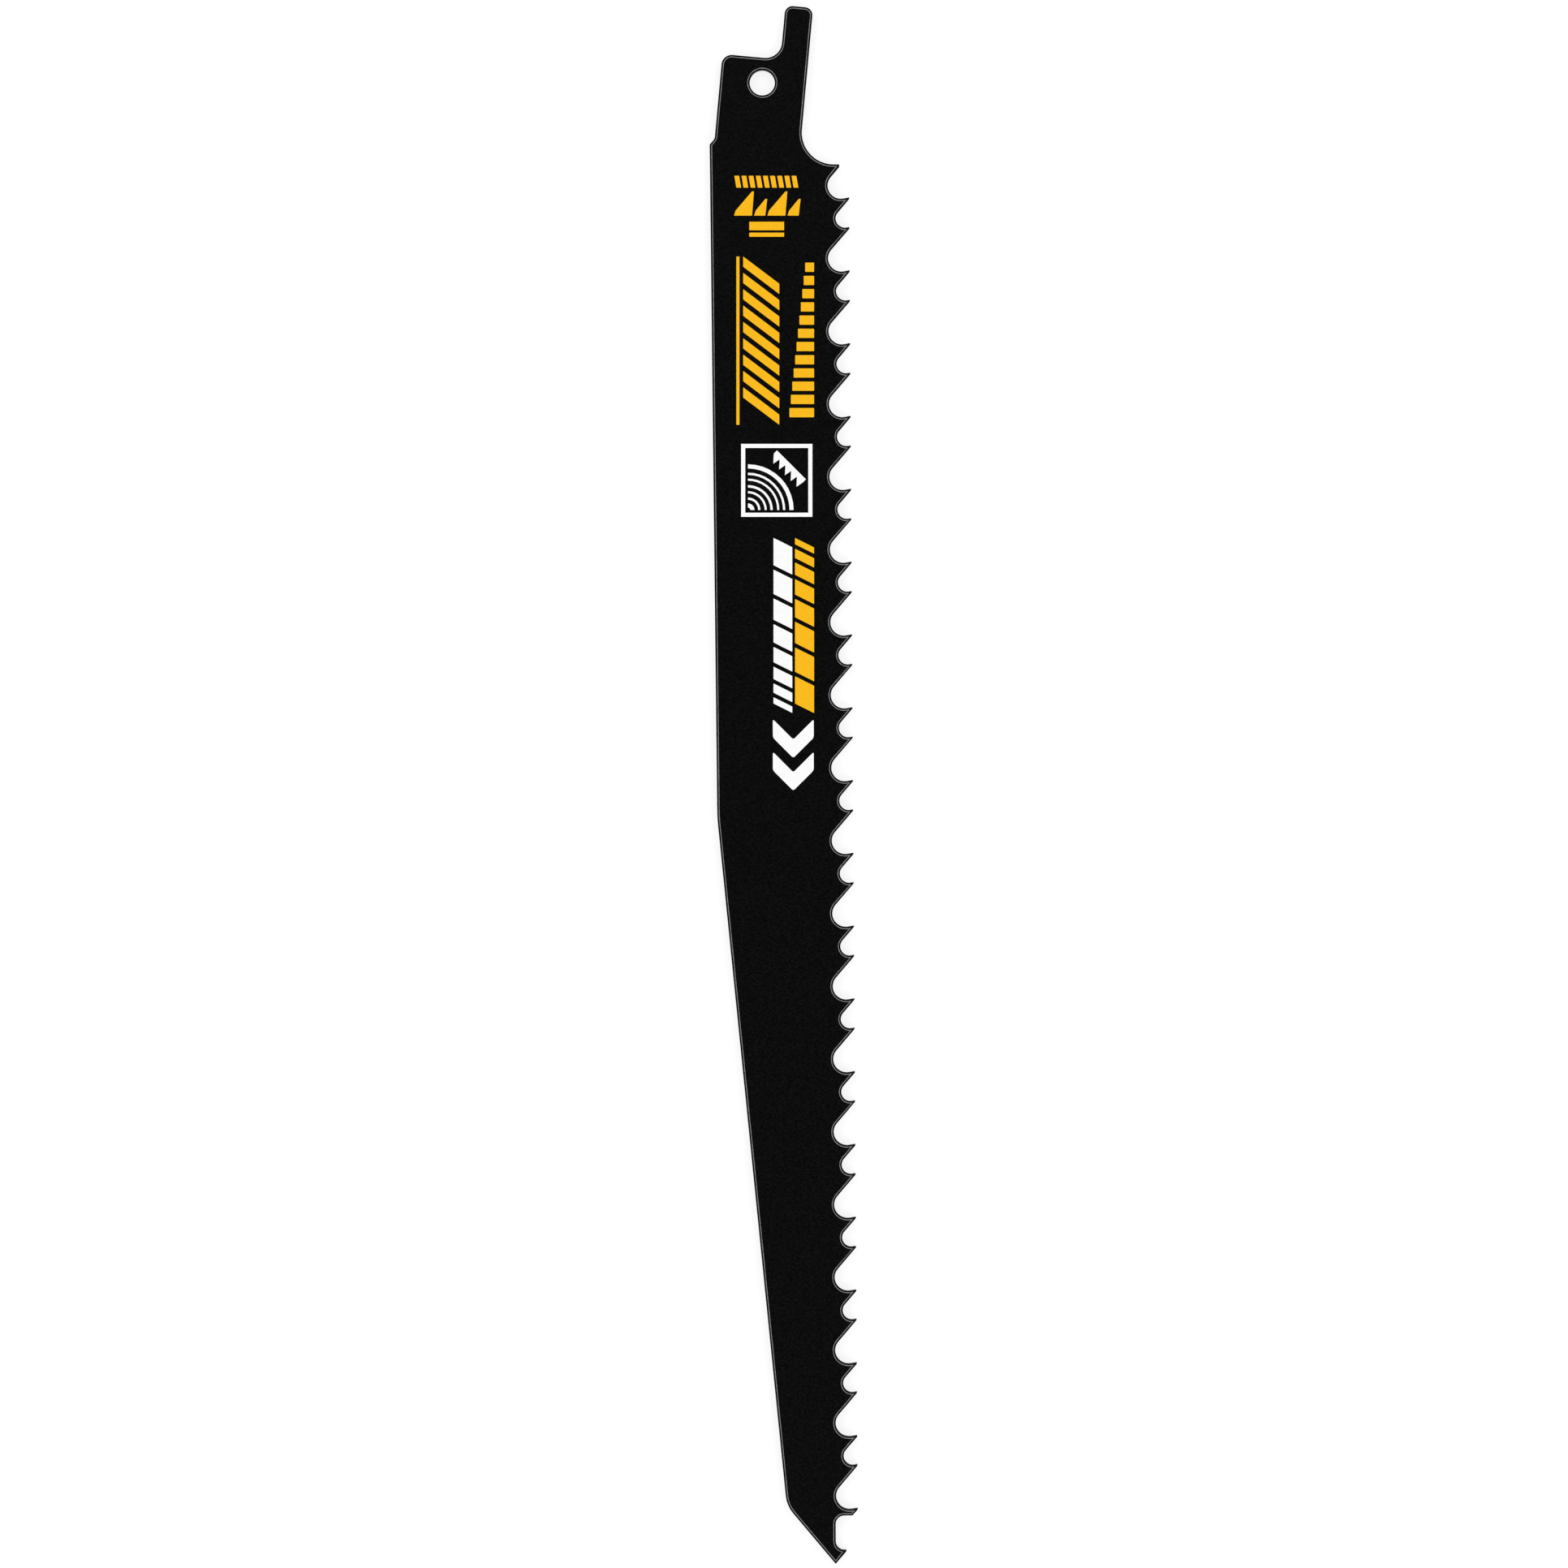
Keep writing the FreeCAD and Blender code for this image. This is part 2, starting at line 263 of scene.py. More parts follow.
# %% Point and back edge
REACH = 217.44
POINT = Vector((REACH, TOOTH_LINE - 3.29))
LAST_RELIEF_FOOT = Vector((LAST_TIP + 1.0, TOOTH_LINE - 0.77))
NOTCH_FLOOR, NOTCH_RADIUS = TOOTH_LINE - 3.25, 1.25
POINT_TOOTH_TOP = TOOTH_LINE - 1.7
NOSE_SLANT, NOSE_RADIUS = Vector((-8.6, -7.14)), 4.63
BACK_BEND, BACK_BEND_RADIUS = Vector((107.8, -7.31)), 28.0
point_face = REACH - 2.06
face_run = (POINT_TOOTH_TOP - NOTCH_FLOOR) * math.tan(HOOK)

point_and_back = [
    (LAST_RELIEF_FOOT, 0),
    (Vector((LAST_RELIEF_FOOT.x, NOTCH_FLOOR)), NOTCH_RADIUS),
    (Vector((point_face + face_run, NOTCH_FLOOR)), NOTCH_RADIUS),
    (Vector((point_face, POINT_TOOTH_TOP)), 0),
    (Vector((point_face + TIP_LAND, POINT_TOOTH_TOP)), 0),
    (POINT, 0),
    (POINT + NOSE_SLANT, NOSE_RADIUS),
    (BACK_BEND, BACK_BEND_RADIUS),
]
print("corners from the last tip to the heel:", len(point_and_back))

# %% Tang and throat
TANG_TILT = math.radians(5.62)
SHANK_BACK, SHANK_FRONT = -6.21, 6.43
SHOULDER, TAIL_END, TAIL_WIDTH = -3.67, -11.62, 4.09
HEEL_ALONG, HEEL_STEP = 9.0, 0.654
STEP_SLOPE = math.tan(math.radians(42.0))
THROAT, THROAT_RADIUS = 12.04, 4.65

tang_back = (SHANK_BACK - HEEL_ALONG * math.sin(TANG_TILT)) / math.cos(TANG_TILT)
heel = Vector((HEEL_ALONG, tang_back - HEEL_STEP))
step_run = HEEL_STEP / (STEP_SLOPE - math.tan(TANG_TILT))
throat_foot = (SHANK_FRONT - THROAT * math.sin(TANG_TILT)) / math.cos(TANG_TILT)


def on_tang(along, across):
    """A place given along and across the tilted tang."""
    return Matrix.Rotation(-TANG_TILT, 2) @ Vector((along, across))


tang = [
    (heel, 0.25),
    (heel + Vector((-step_run, step_run * STEP_SLOPE)), 1.0),
    (on_tang(SHOULDER, SHANK_BACK), 1.5),
    (on_tang(SHOULDER, SHANK_FRONT - TAIL_WIDTH), 2.39),
    (on_tang(TAIL_END, SHANK_FRONT - TAIL_WIDTH), 1.15),
    (on_tang(TAIL_END, SHANK_FRONT), 1.15),
    (Vector((THROAT, throat_foot)), THROAT_RADIUS),
]
print(f"the heel steps out at Y {heel.y:.2f} mm, and the throat starts at Y {throat_foot:.2f} mm")

# %% Closing the outline
HOLE_RADIUS, HOLE_SIDES = 1.85, 64

# The strip in front of the throat is cut off square at the bend line, up to the first relief slope
to_root = root_centre(0, LARGE) - Vector((HALF_LAND, TOOTH_LINE))
relief = math.asin(LARGE["root"] / to_root.length) - heading(to_root)
slope_start = Vector((FIRST_GULLET + HALF_LAND + SET_DEPTH / math.tan(relief), BEND_LINE))

bpy.ops.object.mode_set(mode="EDIT")
here = start_at(Vector((LAST_TIP + HALF_LAND, TOOTH_LINE)))
here = through(here, point_and_back + tang + [(Vector((THROAT, BEND_LINE)), 0)], slope_start)
here = draw_gullet(here, FIRST_GULLET, LARGE)
bpy.ops.mesh.primitive_circle_add(vertices=HOLE_SIDES, radius=HOLE_RADIUS)
bpy.ops.mesh.select_all(action="SELECT")
bpy.ops.mesh.remove_doubles(threshold=0.01)
bpy.ops.mesh.fill(use_beauty=True)
bpy.ops.mesh.normals_make_consistent(inside=False)
bpy.ops.object.mode_set(mode="OBJECT")
print("relief slope in degrees:", round(math.degrees(relief), 2))
print("flat pattern:", len(blade.data.vertices), "vertices,", len(blade.data.polygons), "faces")

# %% [markdown]
# ## Lines that follow the edge
#
# On the real blade the coat is black right at the edge, and just inside it the shoulder that the
# blanking die leaves catches the light as a fine grey line round everything, the hole too. Here that
# highlight is painted into the coat's colour. A painted line would need an image, so the pattern is
# inset a few times, and each ring of vertices keeps its distance from the edge in millimetres as an
# attribute, which the coat's shader reads to paint the highlight.
#
# A tooth tip is so sharp that its vertices run into each other as they move inwards. So after each
# inset the finished ring is hidden, vertices that have come close are merged, and what is left of
# the middle is filled afresh.

# %% Rings along the edge
EDGE_RINGS = (0.02, 0.06, 0.14, 0.2, 0.27, 0.36)
MERGE_WITHIN = 0.1

bpy.ops.geometry.attribute_add(name="edge_gap", domain="POINT", data_type="FLOAT")
bpy.ops.object.mode_set(mode="EDIT")
bpy.ops.mesh.select_mode(type="FACE")
bpy.ops.mesh.select_all(action="SELECT")
gap_before = 0.0
for gap in EDGE_RINGS:
    bpy.ops.mesh.inset(thickness=gap - gap_before, use_even_offset=True)
    bpy.ops.mesh.attribute_set(value_float=gap)
    bpy.ops.mesh.hide(unselected=True)
    if gap > HALF_LAND:
        bpy.ops.mesh.remove_doubles(threshold=MERGE_WITHIN)
        bpy.ops.mesh.select_all(action="SELECT")
        bpy.ops.mesh.delete(type="FACE")
        bpy.ops.mesh.select_mode(type="EDGE")
        bpy.ops.mesh.select_all(action="SELECT")
        bpy.ops.mesh.fill(use_beauty=True)
        bpy.ops.mesh.select_mode(type="FACE")
        bpy.ops.mesh.select_all(action="SELECT")
    gap_before = gap
bpy.ops.mesh.reveal(select=False)
bpy.ops.mesh.select_all(action="SELECT")
bpy.ops.mesh.normals_make_consistent(inside=False)
bpy.ops.object.mode_set(mode="OBJECT")
turned_over = sum(1 for face in blade.data.polygons if face.normal.z < 0)
print("faces with rings:", len(blade.data.polygons), "turned over:", turned_over)

# %% [markdown]
# ## Thickness and eased edges
#
# Solidify gives the pattern its thickness, half to each side, and the rings then run round both
# faces. Blanked and blasted steel has no knife-sharp corner, so the outline and the first ring are
# drawn a little towards the middle of the wall. That rounds the corner all the way round.

# %% From pattern to strip
EASE = {0.0: 0.04, 0.02: 0.012}

strip = blade.modifiers.new("strip", "SOLIDIFY")
strip.thickness = THICKNESS
strip.offset = 0.0
strip.use_even_offset = False
bpy.ops.object.modifier_apply(modifier=strip.name)


def select_ring(piece, gap):
    """Selects the vertices of one ring, in object mode, where such a selection is kept."""
    bpy.ops.object.mode_set(mode="EDIT")
    bpy.ops.mesh.select_mode(type="VERT")
    bpy.ops.mesh.select_all(action="DESELECT")
    bpy.ops.object.mode_set(mode="OBJECT")
    gaps = piece.data.attributes["edge_gap"].data
    for vertex in piece.data.vertices:
        vertex.select = abs(gaps[vertex.index].value - gap) < 0.001


for gap, drop in EASE.items():
    select_ring(blade, gap)
    bpy.ops.object.mode_set(mode="EDIT")
    bpy.ops.transform.resize(value=(1, 1, 1 - 2 * drop / THICKNESS), center_override=(0, 0, 0))
    bpy.ops.object.mode_set(mode="OBJECT")
print("strip:", len(blade.data.polygons), "faces")

# %% [markdown]
# ## Set
#
# A blade as thin as its cut would jam, so the teeth are leant out by turns. Only the part above the
# bend line moves. The strip is cut along that line with Bisect. Each vertex above it then gets a
# weight that grows from 0 at the line to 1 at the tips, in one group for the teeth that lean to the
# printed side and another for the rest, and a Displace modifier for each group does the bending.

# %% Leaning teeth
SLIVER = 0.005

bpy.ops.object.mode_set(mode="EDIT")
bpy.ops.mesh.select_all(action="SELECT")
bpy.ops.mesh.bisect(plane_co=(0, BEND_LINE, 0), plane_no=(0, 1, 0))
# Where the cut passes close by a vertex it leaves a sliver, which is merged away
bpy.ops.mesh.select_all(action="SELECT")
bpy.ops.mesh.remove_doubles(threshold=SLIVER)
bpy.ops.object.mode_set(mode="OBJECT")

for name in ("to_print", "to_back"):
    blade.vertex_groups.new(name=name)
for vertex in blade.data.vertices:
    along, across, _ = vertex.co
    pairs_on = (along - FIRST_TIP + LARGE["pitch"] / 2) / PAIR_PITCH
    if across > BEND_LINE and pairs_on > 0 and along < LAST_TIP + 1:
        to_print = pairs_on % 1 < 0.5
        group = blade.vertex_groups["to_print" if to_print else "to_back"]
        group.add([vertex.index], (across - BEND_LINE) / SET_DEPTH, "REPLACE")

for name, lean in (("to_print", SIDE_SET), ("to_back", -SIDE_SET)):
    bend = blade.modifiers.new(name, "DISPLACE")
    bend.vertex_group = name
    bend.direction = "Z"
    bend.mid_level = 0.0
    bend.strength = lean
    bpy.ops.object.modifier_apply(modifier=bend.name)
heights = [vertex.co.z for vertex in blade.data.vertices]
print(f"set teeth reach from {min(heights):.3f} to {max(heights):.3f} mm")

# %% [markdown]
# ## Down to size
#
# Now every vertex is scaled by a thousandth towards the origin, so the object itself stays at the
# origin, unturned and unscaled, as the CAD solids are. Flats are shaded flat and arcs smooth, told
# apart by the angle between their faces. The finished blade then takes its solid's place.

# %% Metres
MM = 0.001


def to_metres(piece):
    """Scales a drawing down from one unit to the millimetre, and shades its flats flat."""
    bpy.ops.object.select_all(action="DESELECT")
    bpy.context.view_layer.objects.active = piece
    piece.select_set(True)
    bpy.ops.object.mode_set(mode="EDIT")
    bpy.ops.mesh.select_all(action="SELECT")
    bpy.ops.transform.resize(value=(MM, MM, MM), center_override=(0, 0, 0))
    bpy.ops.object.mode_set(mode="OBJECT")
    bpy.ops.object.shade_smooth_by_angle(angle=math.radians(35))


to_metres(blade)
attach(blade, "root")
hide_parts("blade")
print("blade in metres:", [round(size, 5) for size in blade.dimensions])

# %% [markdown]
# ## The black coat
#
# The coat is a matt lacquer a few hundredths of a millimetre thick. Close up it isn't one black:
# the strip was rolled and brushed before it was dipped, so faint streaks run across it, and it
# takes the light a little unevenly. One stretched noise makes the streaks and a fine round one the
# grain, and both feed colour, roughness and bump. The ring attribute then paints a grey highlight
# into the colour along the edge, where the die's shoulder catches the light.

# %% A new material and its noise


def new_material(name):
    """A material with a shader, its output and the piece's own coordinates."""
    material = bpy.data.materials.new(name)
    material.use_nodes = True
    nodes = material.node_tree.nodes
    nodes.clear()
    output = nodes.new("ShaderNodeOutputMaterial")
    shader = nodes.new("ShaderNodeBsdfPrincipled")
    place = nodes.new("ShaderNodeTexCoord")
    material.node_tree.links.new(shader.outputs["BSDF"], output.inputs["Surface"])
    return material, shader, place.outputs["Object"]


def noise(material, vector, stretch, scale, detail=3.0):
    """Noise with so many cells to the metre, stretched along the axes."""
    nodes, links = material.node_tree.nodes, material.node_tree.links
    mapping = nodes.new("ShaderNodeMapping")
    mapping.inputs["Scale"].default_value = stretch
    texture = nodes.new("ShaderNodeTexNoise")
    texture.inputs["Scale"].default_value = scale
    texture.inputs["Detail"].default_value = detail
    links.new(vector, mapping.inputs["Vector"])
    links.new(mapping.outputs["Vector"], texture.inputs["Vector"])
    return texture.outputs["Fac"]


# %% Ranges, ramps and mixes


def spread(material, value, low, high, start=0.3, end=0.7):
    """Stretches the middle of a value's range over low to high."""
    ranged = material.node_tree.nodes.new("ShaderNodeMapRange")
    ranged.inputs["From Min"].default_value = start
    ranged.inputs["From Max"].default_value = end
    ranged.inputs["To Min"].default_value = low
    ranged.inputs["To Max"].default_value = high
    material.node_tree.links.new(value, ranged.inputs["Value"])
    return ranged.outputs["Result"]


def grey(level):
    """A grey of one level."""
    return level, level, level


def ramp(material, value, stops):
    """Colours along a value."""
    node = material.node_tree.nodes.new("ShaderNodeValToRGB")
    while len(node.color_ramp.elements) < len(stops):
        node.color_ramp.elements.new(0.5)
    for element, (position, colour) in zip(node.color_ramp.elements, stops):
        element.position = position
        element.color = (*colour, 1)
    material.node_tree.links.new(value, node.inputs["Fac"])
    return node.outputs["Color"]


def mix(material, factor, first, second):
    """One colour over another by a factor."""
    node = material.node_tree.nodes.new("ShaderNodeMix")
    node.data_type = "RGBA"
    links = material.node_tree.links
    links.new(factor, node.inputs["Factor"])
    links.new(first, node.inputs[6])
    links.new(second, node.inputs[7])
    return node.outputs[2]


# %% Bump


def bump(material, height, shader, distance, strength):
    """Raises a surface by a height pattern."""
    node = material.node_tree.nodes.new("ShaderNodeBump")
    node.inputs["Distance"].default_value = distance
    node.inputs["Strength"].default_value = strength
    material.node_tree.links.new(height, node.inputs["Height"])
    material.node_tree.links.new(node.outputs["Normal"], shader.inputs["Normal"])


# %% Black, and the grey of the painted highlight
ROUND, ACROSS = (1.0, 1.0, 1.0), (4.5, 1.0, 1.0)
coat, coat_shader, on_blade = new_material("black_coat")
streaks = noise(coat, on_blade, ACROSS, 2700)
grain = noise(coat, on_blade, ROUND, 2600)
black = ramp(coat, streaks, [(0.45, grey(0.0)), (0.6, grey(0.0048))])
# Painted highlight: the grey of the edge's shoulder where it catches the light
painted_highlight_grey = ramp(coat, grain, [(0.3, grey(0.22)), (0.7, grey(0.38))])
print(f"a streak is about {ACROSS[0] / ACROSS[1]:.1f} times as long as it is wide")

# %% The painted highlight beside the edge
# Where the painted highlight begins, is full, starts to fade and ends, in millimetres from the edge
PAINTED_HIGHLIGHT = {0.236: 0.0, 0.278: 1.0, 0.314: 1.0, 0.357: 0.0}
edge = coat.node_tree.nodes.new("ShaderNodeAttribute")
edge.attribute_name = "edge_gap"
ringed = EDGE_RINGS[-1]
inwards = spread(coat, edge.outputs["Fac"], 0.0, 1.0, start=0.0, end=ringed)
painted_highlight = ramp(coat, inwards, [(gap / ringed, grey(share)) for gap, share in PAINTED_HIGHLIGHT.items()])
# The painted highlight is mixed into the black of the coat's colour
colour = mix(coat, painted_highlight, black, painted_highlight_grey)
print(f"the line is {max(PAINTED_HIGHLIGHT) - min(PAINTED_HIGHLIGHT):.3f} mm wide")

# %% Coat on the steel
coat.node_tree.links.new(colour, coat_shader.inputs["Base Color"])
coat.node_tree.links.new(spread(coat, grain, 0.29, 0.37), coat_shader.inputs["Roughness"])
coat_shader.inputs["Specular IOR Level"].default_value = 0.08
bump(coat, streaks, coat_shader, 0.00002, 0.35)
blade.data.materials.append(coat)
print("nodes in the coat:", len(coat.node_tree.nodes))

# %% [markdown]
# ## The print
#
# The print is screened on in two inks and is made of plain signs. Each sign is a flat patch, drawn
# with the same travelling vertex and filled with F, and Solidify gives it the thickness of an ink
# film. Places are in millimetres along and across the blade from the hole, in the slightly turned
# frame that the screen was set to. A patch starts a hair below the coat, so that no gap shows.

# %% Patches of ink
INK_FILM = 0.02
SUNK = 0.005
PRINT_TURN = math.radians(-0.37)


def close_patch(rounding=0.0):
    """Fills the outline just drawn and rounds its corners."""
    bpy.ops.mesh.select_linked()
    bpy.ops.mesh.remove_doubles(threshold=0.001)
    bpy.ops.mesh.edge_face_add()
    if rounding:
        bpy.ops.mesh.bevel(affect="VERTICES", offset=rounding, segments=3)


def patch(corners, rounding=0.0):
    """A filled shape with straight sides, its corners given along and across."""
    places = [Vector(corner) for corner in corners]
    here = start_at(places[0])
    for place in places[1:] + places[:1]:
        here = straight(here, place)
    close_patch(rounding)


# %% Bars and arrows
ROW_START, ROW_GAP = 66.8, 0.66


def bar(along, length, low, high, slant=0.0, rounding=0.06):
    """A bar across the blade whose upper side is shifted along it by the slant."""
    lower = [(along, low), (along + length, low)]
    upper = [(along + length + slant, high), (along + slant, high)]
    patch(lower + upper, rounding)


def row_of_bars(lengths, low, high, slant):
    """Slanted bars one after another, with the same gap between any two."""
    along = ROW_START
    for length in lengths:
        bar(along, length, low, high, slant)
        along += length + ROW_GAP


def chevron(along, thickness, low, high, rounding):
    """An arrow without a shaft that points to the blade's point."""
    middle, lead = (low + high) / 2, (high - low) / 2
    patch([
        (along, low), (along + thickness, low), (along + thickness + lead, middle),
        (along + thickness, high), (along, high), (along + lead, middle),
    ], rounding)


# %% Ink film


def lay_ink(drawing):
    """Gives the patches the ink's thickness and lays them on the printed face."""
    bpy.ops.object.mode_set(mode="OBJECT")
    film = drawing.modifiers.new("film", "SOLIDIFY")
    film.thickness = INK_FILM + SUNK
    film.offset = 0.0
    bpy.ops.object.modifier_apply(modifier=film.name)
    bpy.ops.object.mode_set(mode="EDIT")
    bpy.ops.mesh.select_all(action="SELECT")
    bpy.ops.transform.translate(value=(0, 0, THICKNESS / 2 + (INK_FILM - SUNK) / 2))
    bpy.ops.transform.rotate(value=-PRINT_TURN, orient_axis="Z", center_override=(0, 0, 0))
    bpy.ops.mesh.normals_make_consistent(inside=False)
    bpy.ops.object.mode_set(mode="OBJECT")
    to_metres(drawing)
    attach(drawing, "root")
    spans = [round(size, 4) for size in drawing.dimensions]
    print(drawing.name, "has", len(drawing.data.polygons), "faces and spans", spans)


# %% [markdown]
# ## Yellow signs
#
# Next to the tang come three small ones: a row of dashes, the two sizes of tooth, and a broad and a
# narrow bar for the two metals. Further on are a panel of diagonal stripes with a rule beside it, a
# row of blocks that grow like a gauge, and a row of stripes that lengthen towards the point.

# %% Small signs by the tang
yellow = new_drawing("yellow_print")

DASHES, DASH_PITCH, DASH_WIDTH, DASH_SLANT = 9, 1.05, 0.7, 0.3
near, far = 13.65, 15.4
for dash in range(DASHES):
    low = -4.1 + DASH_PITCH * dash
    high = low + DASH_WIDTH
    patch([(near, low), (near, high), (far, high + DASH_SLANT), (far, low + DASH_SLANT)], 0.06)

# A broad and a narrow tooth, twice, by their pitch and their height
foot, start = 19.5, -4.15
for pitch, height in ((2.95, 3.55), (1.95, 2.45)) * 2:
    tip, face = foot - height, start + pitch - 0.3
    patch([(foot, start), (foot, face), (tip, face + 0.28), (tip, face), (foot - 0.75, start + 0.25)], 0.05)
    start += pitch

for along, length in ((20.4, 1.25), (22.0, 0.6)):
    bar(along, length, -1.9, 3.2)
print(f"{DASHES} dashes end at {high:.2f} mm, and the teeth at {start:.2f} mm across the blade")

# %% Stripes with a rule, and a gauge
PANEL_START, STRIPES, STRIPE_PITCH, STRIPE_LENGTH = 25.5, 9, 2.4, 1.5
for stripe in range(STRIPES):
    bar(PANEL_START + STRIPE_PITCH * stripe, STRIPE_LENGTH, -2.8, 2.5, slant=4.0)
bar(PANEL_START, 24.7, -3.8, -3.35, rounding=0.0)

GAUGE_START, BLOCKS, BLOCK_PITCH, BLOCK_LENGTH = 26.4, 12, 1.94, 1.35
GAUGE_TOP, BLOCK_WIDTH, BLOCK_GROWTH = 7.6, 1.3, 0.21
for block in range(BLOCKS):
    low = GAUGE_TOP - BLOCK_WIDTH - BLOCK_GROWTH * block
    bar(GAUGE_START + BLOCK_PITCH * block, BLOCK_LENGTH, low, GAUGE_TOP, rounding=0.08)
print(STRIPES, "stripes and", BLOCKS, "blocks")

# %% Lengthening row
ROW_LENGTHS = [4.0 - 0.44 * place for place in range(8)]
row_of_bars(reversed(ROW_LENGTHS), 4.8, 7.6, slant=1.4)
lay_ink(yellow)

# %% [markdown]
# ## White signs
#
# The square sign says what the blade is for: the rings of a log's end, and a saw's teeth above them.
# Each ring is a quarter of a thin band, drawn with two arcs. The frame is one square patch, inset by
# the width of its rule, with the middle taken out. Then come a row of stripes that shorten towards
# the point, and a bold double arrow.

# %% Square frame and log
SIGN_START, SIGN_END, SIGN_LOW, SIGN_HIGH, RULE = 53.0, 63.7, -3.1, 7.35, 0.6
white = new_drawing("white_print")
bar(SIGN_START, SIGN_END - SIGN_START, SIGN_LOW, SIGN_HIGH, rounding=0.0)
bpy.ops.mesh.select_mode(type="FACE")
bpy.ops.mesh.inset(thickness=RULE)
bpy.ops.mesh.delete(type="FACE")
bpy.ops.mesh.select_mode(type="VERT")

# Each growth ring's inner radius and its breadth
RINGS = {0.35: 0.6, 1.5: 0.32, 2.45: 0.3, 3.3: 0.34, 4.3: 0.3, 5.15: 0.32, 6.1: 0.6}
HEART_INSET = 1.0
heart = Vector((SIGN_END - HEART_INSET, SIGN_LOW + HEART_INSET))
for radius, breadth in RINGS.items():
    ring_start = heart - Vector((radius, 0))
    here = arc(start_at(ring_start), heart, -math.pi / 2)
    here = straight(here, here + Vector((0, breadth)))
    here = arc(here, heart, math.pi / 2)
    straight(here, ring_start)
    close_patch()
print(len(RINGS), "growth rings, the widest with a radius of", max(RINGS), "mm")

# %% Saw over the log
# Its back and its teeth, by how deep and how wide they lie from the frame's inner corner
frame_corner = Vector((SIGN_START + RULE, SIGN_HIGH - RULE))
deeper, wider = Vector((1, -1)).normalized(), Vector((1, 1)).normalized()
SAW_TEETH, SAW_PITCH, SAW_HOOK = 5, 1.2, 0.2
SAW_BACK, SAW_GULLETS, SAW_TIPS = 3.5, 4.15, 5.25
half_saw = SAW_TEETH * SAW_PITCH / 2
saw = [(SAW_BACK, -half_saw), (SAW_BACK, half_saw)]
for tooth in range(SAW_TEETH):
    face = half_saw - SAW_PITCH * tooth
    saw += [(SAW_GULLETS, face), (SAW_TIPS, face - SAW_HOOK)]
saw.append((SAW_GULLETS, -half_saw))
patch([frame_corner + deeper * deep + wider * wide for deep, wide in saw])
print("corners of the saw:", len(saw))

# %% Shortening row and double arrow
row_of_bars(ROW_LENGTHS, 1.65, 4.4, slant=1.37)
for along in (93.4, 98.2):
    chevron(along, thickness=2.7, low=1.55, high=7.55, rounding=0.3)
lay_ink(white)

# %% [markdown]
# ## Inks
#
# Screen ink is thick and a little soft in gloss. Held close it is mottled, where the mesh of the
# screen has let more or less through, so both inks get a fine noise in colour, roughness and height.

# %% Two inks


def ink(name, thin, full):
    """Screen ink between two shades of its colour."""
    material, shader, on_patch = new_material(name)
    links = material.node_tree.links
    mottle = noise(material, on_patch, ROUND, 1500)
    links.new(ramp(material, mottle, [(0.3, thin), (0.7, full)]), shader.inputs["Base Color"])
    links.new(spread(material, mottle, 0.5, 0.62), shader.inputs["Roughness"])
    shader.inputs["Specular IOR Level"].default_value = 0.15
    bump(material, mottle, shader, 0.00001, 0.4)
    return material


yellow.data.materials.append(ink("yellow_ink", (0.93, 0.475, 0.004), (0.98, 0.505, 0.007)))
white.data.materials.append(ink("white_ink", grey(0.95), grey(0.98)))
print("inks:", yellow.data.materials[0].name, "and", white.data.materials[0].name)

# %% [markdown]
# ## White paper
#
# The blade lies on white paper, as in a catalogue. Paper that gets all its white from the lamps needs
# so much light that the print turns pale. So it glows as well, but only towards the camera, in gloss
# and through glass, and that glow lights nothing. Near the blade it is short of white by what the
# lamps add, so a shadow still shows there. Further out, where the lamps fade, the glow is full.

# %% Floor
# The lowest teeth stand a hair above the paper, so that the two never flicker through each other
FLOOR = cad_low[2] - 0.000025

bpy.ops.object.select_all(action="DESELECT")
bpy.ops.mesh.primitive_plane_add(size=6, location=(0.1, 0, FLOOR))
floor = bpy.context.object
floor.name = "floor"
paper, paper_shader, on_paper = new_material("white_paper")
fibres = noise(paper, on_paper, ROUND, 40)
tone = ramp(paper, fibres, [(0.3, grey(0.245)), (0.7, grey(0.26))])
paper.node_tree.links.new(tone, paper_shader.inputs["Base Color"])
paper_shader.inputs["Roughness"].default_value = 0.9
paper_shader.inputs["Specular IOR Level"].default_value = 0.0
floor.data.materials.append(paper)
floor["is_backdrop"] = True
print(f"floor at Z {FLOOR / MM:.3f} mm")

# %% Glow of the floor
LIT_RADIUS, FADED_RADIUS = 0.35, 1.0
nodes, links = paper.node_tree.nodes, paper.node_tree.links
distance = nodes.new("ShaderNodeVectorMath")
distance.operation = "LENGTH"
links.new(on_paper, distance.inputs[0])
glow = spread(paper, distance.outputs["Value"], 0.8, 1.0, start=LIT_RADIUS, end=FADED_RADIUS)

rays = nodes.new("ShaderNodeLightPath")
seen = rays.outputs["Is Camera Ray"]
for kind in ("Is Glossy Ray", "Is Transmission Ray"):
    either = nodes.new("ShaderNodeMath")
    either.operation = "MAXIMUM"
    links.new(seen, either.inputs[0])
    links.new(rays.outputs[kind], either.inputs[1])
    seen = either.outputs[0]

only_seen = nodes.new("ShaderNodeMath")
only_seen.operation = "MULTIPLY"
links.new(glow, only_seen.inputs[0])
links.new(seen, only_seen.inputs[1])
links.new(only_seen.outputs[0], paper_shader.inputs["Emission Strength"])
paper_shader.inputs["Emission Color"].default_value = (1, 1, 1, 1)
print("nodes in the paper:", len(nodes))

# %% [markdown]
# ## Studio light
#
# Four large square lamps stand round the blade at the same height, so no side is darker, and none is
# mirrored straight up to the camera. The world is dim, and only fills the shadows a little. Just
# above the horizon it is as white as the paper, so a camera close to the floor sees no edge there.

